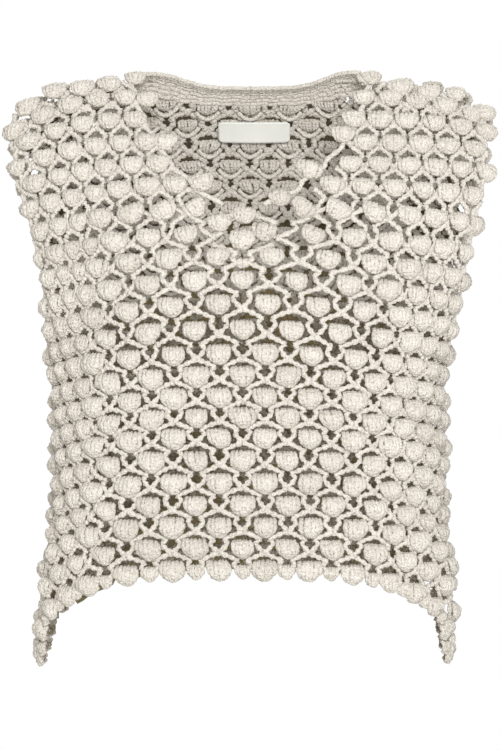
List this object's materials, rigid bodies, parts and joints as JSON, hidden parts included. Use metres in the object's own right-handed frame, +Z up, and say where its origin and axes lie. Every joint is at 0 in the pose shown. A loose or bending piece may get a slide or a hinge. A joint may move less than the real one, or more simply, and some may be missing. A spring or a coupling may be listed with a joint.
{
  "type": "sleeveless crochet blouse",
  "caption": "Hollow sleeveless V-neck blouse in openwork crochet with raised bobbles, filled out as when worn, with a blank label inside the back neck.",
  "frame": {"origin": "midway between the shoulders, level with the shoulder seams at the neck, where the wearer's shoulders hold the blouse", "axes": "+Z up, -Y out of the front, +X to the right of a viewer who looks at the front"},
  "size_m": [0.4688, 0.2144, 0.5626],
  "materials": {
    "cotton_yarn": "matt ecru cotton yarn, crocheted",
    "label_satin": "pale satin tape, blank"
  },
  "bodies": {
    "root": {"front_panel": "cotton_yarn", "back_panel": "cotton_yarn", "back_neck_edge": "cotton_yarn", "label": "label_satin"}
  },
  "joints": []
}
